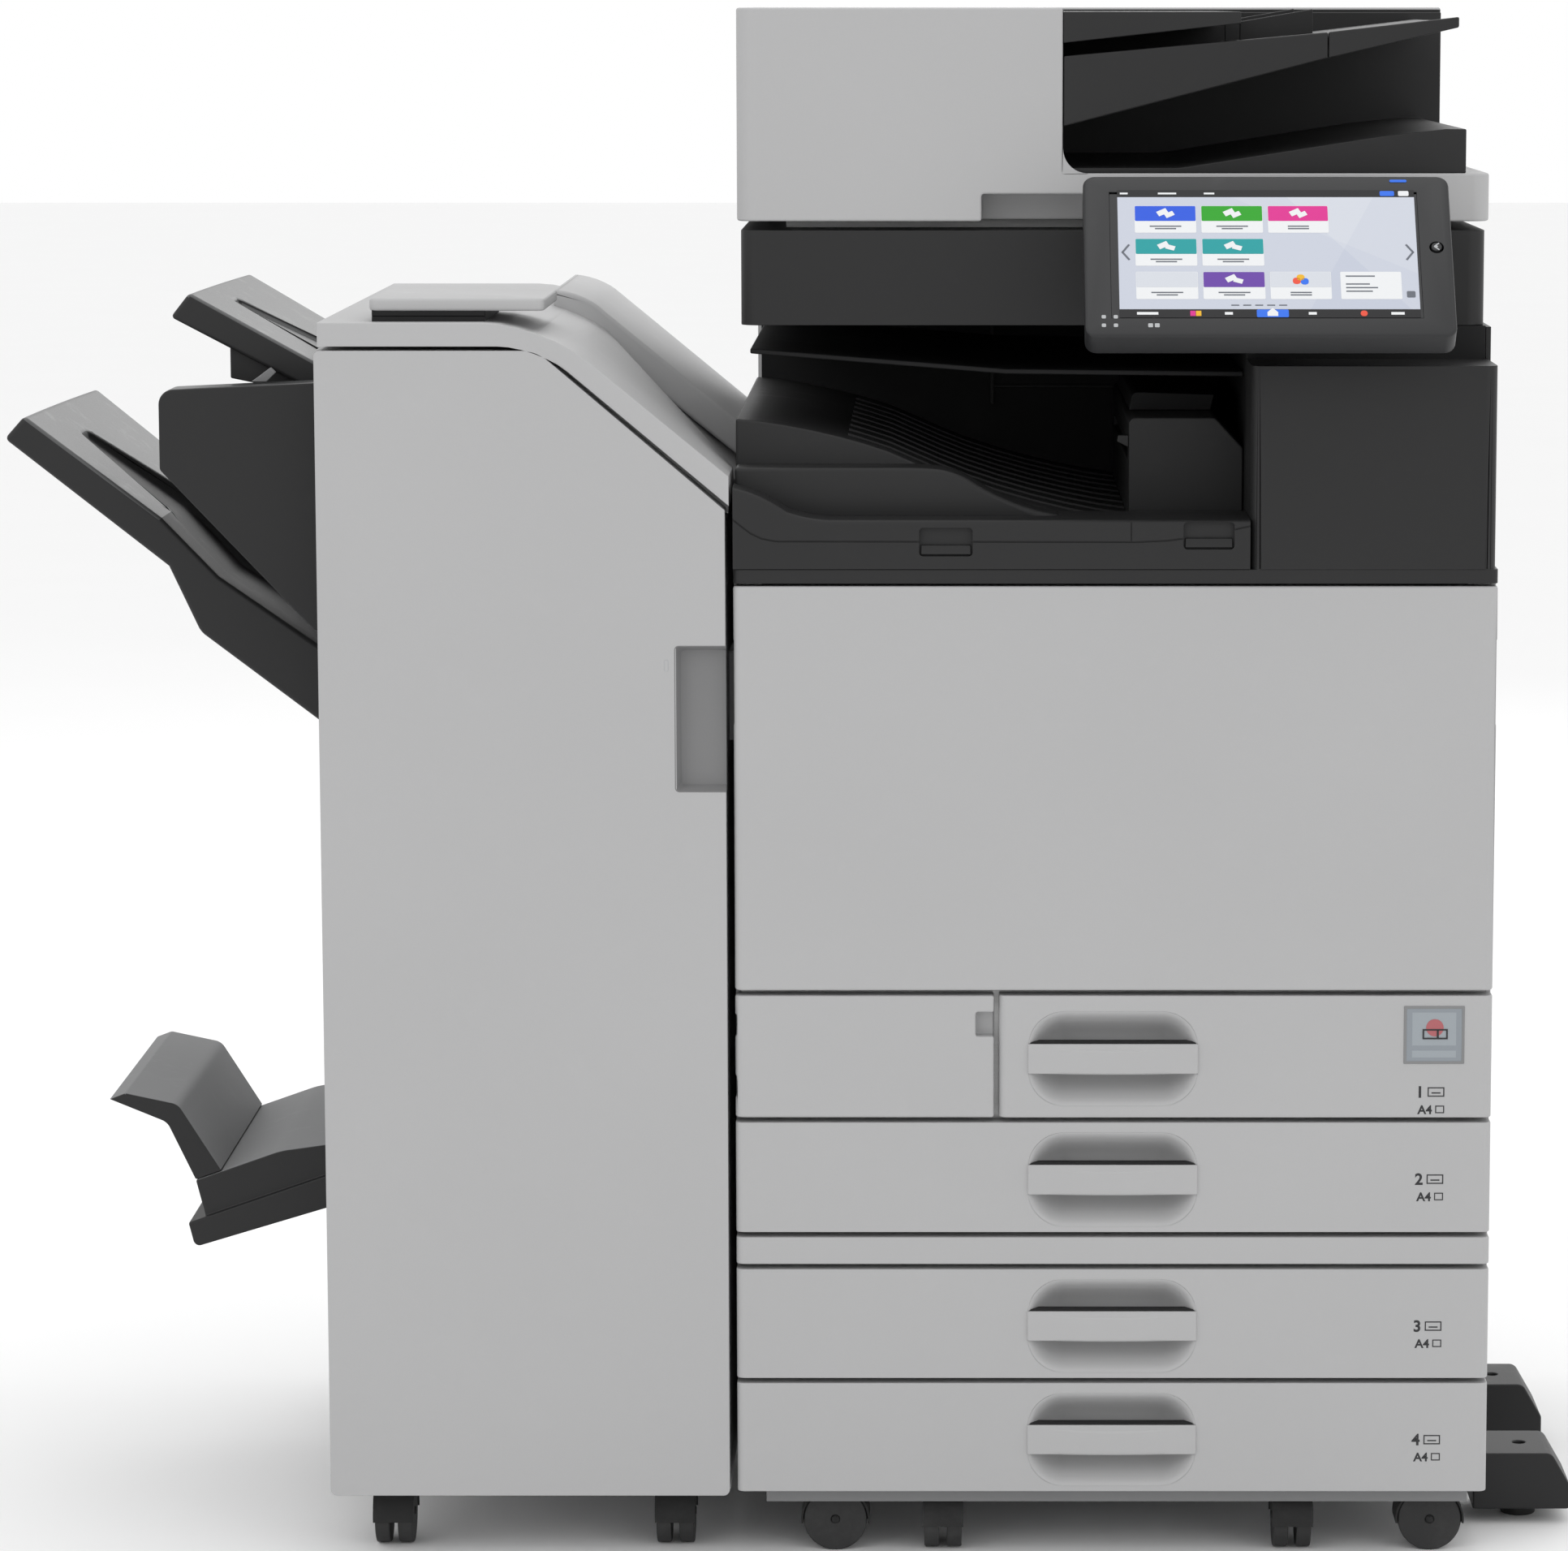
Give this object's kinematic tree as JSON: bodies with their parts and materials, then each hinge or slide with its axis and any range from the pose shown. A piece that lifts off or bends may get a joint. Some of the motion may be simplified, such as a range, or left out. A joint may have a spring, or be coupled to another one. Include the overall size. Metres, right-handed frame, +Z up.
{
  "type": "photocopier",
  "caption": "Office copier with document feeder, tilting touch panel, drawer trays, and a booklet finisher on casters.",
  "frame": {"origin": "on the floor, under the middle of the whole machine's bounding box", "axes": "+X to the right as seen from the front, front towards -Y, +Z up"},
  "size_m": [1.2396, 0.685, 1.2095],
  "materials": {
    "cover_light": "fine-grained moulded light grey",
    "plastic_black": "fine-grained moulded black",
    "panel_dark": "satin dark grey bezel",
    "screen_face": "lit touch screen",
    "frame_steel": "galvanised sheet",
    "clear_glass": "polished",
    "pad_white": "soft white sheet",
    "tray_grey": "grained dark moulding with lighter top",
    "unit_plastic": "dark moulded unit",
    "bottle_plastic": "smooth toner bottle",
    "caster_black": "smooth black moulding",
    "wheel_tread": "matt tread"
  },
  "bodies": {
    "machine": {"chassis_frame": "frame_steel", "base_frame": "frame_steel", "fixed_caster_forks": "caster_black", "anti_tip_feet": "plastic_black", "left_cover": "cover_light", "right_cover": "cover_light", "rear_cover": "cover_light", "bank_trim_strip": "cover_light", "front_right_cover": "plastic_black", "output_tray": "plastic_black", "exit_unit": "plastic_black", "one_bin_tray": "plastic_black", "scanner_housing": "plastic_black", "platen_glass": "clear_glass", "toner_bottles": "bottle_plastic", "imaging_units": "unit_plastic", "fuser_unit": "unit_plastic", "finisher_housing": "cover_light", "finisher_frame": "frame_steel", "finisher_top_cover": "cover_light", "tray_side_cover": "plastic_black", "proof_tray": "tray_grey", "booklet_tray": "tray_grey"},
    "scan_carriage": {"scan_carriage": "unit_plastic"},
    "document_feeder": {"feeder_cover": "cover_light", "feeder_inner_body": "plastic_black", "document_tray": "plastic_black", "platen_pad": "pad_white"},
    "feed_cover": {"feed_cover": "cover_light"},
    "tray_extension": {"tray_extension": "plastic_black"},
    "front_guide": {"front_document_guide": "plastic_black"},
    "rear_guide": {"rear_document_guide": "plastic_black"},
    "control_panel": {"control_panel": "panel_dark", "touch_screen": "screen_face"},
    "power_button": {"power_button": "plastic_black"},
    "front_door": {"front_door": "cover_light"},
    "waste_toner_door": {"waste_toner_door": "cover_light"},
    "paper_tray_1": {"paper_tray_1": "cover_light"},
    "paper_tray_2": {"paper_tray_2": "cover_light"},
    "paper_tray_3": {"paper_tray_3": "cover_light"},
    "paper_tray_4": {"paper_tray_4": "cover_light"},
    "right_door": {"right_door": "cover_light"},
    "bypass_tray": {"bypass_tray": "cover_light"},
    "finisher_door": {"finisher_door": "cover_light"},
    "shift_tray": {"shift_tray": "tray_grey"},
    "booklet_stopper": {"booklet_stopper": "tray_grey"},
    "caster_front_left": {"caster_fork_front_left": "caster_black"},
    "wheels_front_left": {"caster_wheels_front_left": "wheel_tread"},
    "caster_front_right": {"caster_fork_front_right": "caster_black"},
    "wheels_front_right": {"caster_wheels_front_right": "wheel_tread"},
    "caster_finisher_left": {"caster_fork_finisher_left": "caster_black"},
    "wheels_finisher_left": {"caster_wheels_finisher_left": "wheel_tread"},
    "caster_finisher_right": {"caster_fork_finisher_right": "caster_black"},
    "wheels_finisher_right": {"caster_wheels_finisher_right": "wheel_tread"},
    "wheels_middle_left": {"caster_wheels_middle_left": "wheel_tread"},
    "wheels_middle_right": {"caster_wheels_middle_right": "wheel_tread"},
    "wheels_rear_left": {"caster_wheels_rear_left": "wheel_tread"},
    "wheels_rear_right": {"caster_wheels_rear_right": "wheel_tread"},
    "wheels_finisher_rear_left": {"caster_wheels_finisher_rear_left": "wheel_tread"},
    "wheels_finisher_rear_right": {"caster_wheels_finisher_rear_right": "wheel_tread"}
  },
  "joints": [
    {"name": "carriage_travel", "type": "slide", "parent": "machine", "child": "scan_carriage", "axis": [1, 0, 0], "range_m": [0, 0.45]},
    {"name": "feeder_lift", "type": "hinge", "parent": "machine", "child": "document_feeder", "pos_m": [0.2467, 0.3345, 1.0555], "axis": [-1, 0, 0], "range_deg": [0, 60]},
    {"name": "feed_cover_hinge", "type": "hinge", "parent": "document_feeder", "child": "feed_cover", "pos_m": [-0.0268, 0.0385, 1.2045], "axis": [0, -1, 0], "range_deg": [0, 85]},
    {"name": "extension_slide", "type": "slide", "parent": "document_feeder", "child": "tray_extension", "axis": [0.9935, 0, 0.114], "range_m": [0, 0.06]},
    {"name": "guide_slide_front", "type": "slide", "parent": "document_feeder", "child": "front_guide", "axis": [0, 1, 0], "range_m": [0, 0.08]},
    {"name": "guide_slide_rear", "type": "slide", "parent": "document_feeder", "child": "rear_guide", "axis": [0, 1, 0], "range_m": [-0.08, 0]},
    {"name": "panel_tilt", "type": "hinge", "parent": "machine", "child": "control_panel", "pos_m": [0.3605, -0.28017, 0.98509], "axis": [-1, 0, 0], "range_deg": [-12, 25]},
    {"name": "power_press", "type": "slide", "parent": "control_panel", "child": "power_button", "axis": [0, 0.7604, -0.6494], "range_m": [0, 0.0009], "stiffness_N_per_m": 600},
    {"name": "front_door_hinge", "type": "hinge", "parent": "machine", "child": "front_door", "pos_m": [0.2467, -0.2625, 0.462], "axis": [1, 0, 0], "range_deg": [0, 90]},
    {"name": "waste_door_hinge", "type": "hinge", "parent": "machine", "child": "waste_toner_door", "pos_m": [-0.0403, -0.2625, 0.4035], "axis": [0, 0, -1], "range_deg": [0, 95]},
    {"name": "tray_1_slide", "type": "slide", "parent": "machine", "child": "paper_tray_1", "axis": [0, -1, 0], "range_m": [0, 0.45]},
    {"name": "tray_2_slide", "type": "slide", "parent": "machine", "child": "paper_tray_2", "axis": [0, -1, 0], "range_m": [0, 0.45]},
    {"name": "tray_3_slide", "type": "slide", "parent": "machine", "child": "paper_tray_3", "axis": [0, -1, 0], "range_m": [0, 0.45]},
    {"name": "tray_4_slide", "type": "slide", "parent": "machine", "child": "paper_tray_4", "axis": [0, -1, 0], "range_m": [0, 0.45]},
    {"name": "right_door_hinge", "type": "hinge", "parent": "machine", "child": "right_door", "pos_m": [0.5322, 0.242, 0.612], "axis": [0, 0, 1], "range_deg": [0, 90]},
    {"name": "bypass_hinge", "type": "hinge", "parent": "right_door", "child": "bypass_tray", "pos_m": [0.5342, 0.0315, 0.561], "axis": [0, 1, 0], "range_deg": [0, 75]},
    {"name": "finisher_door_hinge", "type": "hinge", "parent": "machine", "child": "finisher_door", "pos_m": [-0.3593, -0.2625, 0.5], "axis": [0, 0, -1], "range_deg": [0, 105]},
    {"name": "shift_tray_lift", "type": "slide", "parent": "machine", "child": "shift_tray", "axis": [0, 0, -1], "range_m": [0, 0.24]},
    {"name": "stopper_fold", "type": "hinge", "parent": "machine", "child": "booklet_stopper", "pos_m": [-0.4841, 0, 0.281], "axis": [0, -1, 0], "range_deg": [0, 70]},
    {"name": "swivel_front_left", "type": "hinge", "parent": "machine", "child": "caster_front_left", "pos_m": [0.0292, -0.2205, 0.04], "axis": [0, 0, 1], "continuous": true},
    {"name": "roll_front_left", "type": "hinge", "parent": "caster_front_left", "child": "wheels_front_left", "pos_m": [0.0292, -0.2205, 0.025], "axis": [0, 1, 0], "continuous": true},
    {"name": "swivel_front_right", "type": "hinge", "parent": "machine", "child": "caster_front_right", "pos_m": [0.4992, -0.2205, 0.04], "axis": [0, 0, 1], "continuous": true},
    {"name": "roll_front_right", "type": "hinge", "parent": "caster_front_right", "child": "wheels_front_right", "pos_m": [0.4992, -0.2205, 0.025], "axis": [0, 1, 0], "continuous": true},
    {"name": "swivel_finisher_left", "type": "hinge", "parent": "machine", "child": "caster_finisher_left", "pos_m": [-0.3208, -0.2085, 0.04], "axis": [0, 0, 1], "continuous": true},
    {"name": "roll_finisher_left", "type": "hinge", "parent": "caster_finisher_left", "child": "wheels_finisher_left", "pos_m": [-0.3208, -0.2085, 0.025], "axis": [1, 0, 0], "continuous": true},
    {"name": "swivel_finisher_right", "type": "hinge", "parent": "machine", "child": "caster_finisher_right", "pos_m": [-0.0978, -0.2085, 0.04], "axis": [0, 0, 1], "continuous": true},
    {"name": "roll_finisher_right", "type": "hinge", "parent": "caster_finisher_right", "child": "wheels_finisher_right", "pos_m": [-0.0978, -0.2085, 0.025], "axis": [1, 0, 0], "continuous": true},
    {"name": "roll_middle_left", "type": "hinge", "parent": "machine", "child": "wheels_middle_left", "pos_m": [0.1142, -0.2205, 0.025], "axis": [1, 0, 0], "continuous": true},
    {"name": "roll_middle_right", "type": "hinge", "parent": "machine", "child": "wheels_middle_right", "pos_m": [0.3902, -0.2205, 0.025], "axis": [1, 0, 0], "continuous": true},
    {"name": "roll_rear_left", "type": "hinge", "parent": "machine", "child": "wheels_rear_left", "pos_m": [0.0292, 0.2825, 0.025], "axis": [1, 0, 0], "continuous": true},
    {"name": "roll_rear_right", "type": "hinge", "parent": "machine", "child": "wheels_rear_right", "pos_m": [0.4992, 0.2825, 0.025], "axis": [1, 0, 0], "continuous": true},
    {"name": "roll_finisher_rear_left", "type": "hinge", "parent": "machine", "child": "wheels_finisher_rear_left", "pos_m": [-0.3208, 0.2825, 0.025], "axis": [1, 0, 0], "continuous": true},
    {"name": "roll_finisher_rear_right", "type": "hinge", "parent": "machine", "child": "wheels_finisher_rear_right", "pos_m": [-0.0978, 0.2825, 0.025], "axis": [1, 0, 0], "continuous": true}
  ],
  "couplings": [
    {"joint": "guide_slide_rear", "follows": "guide_slide_front", "ratio": -1}
  ]
}
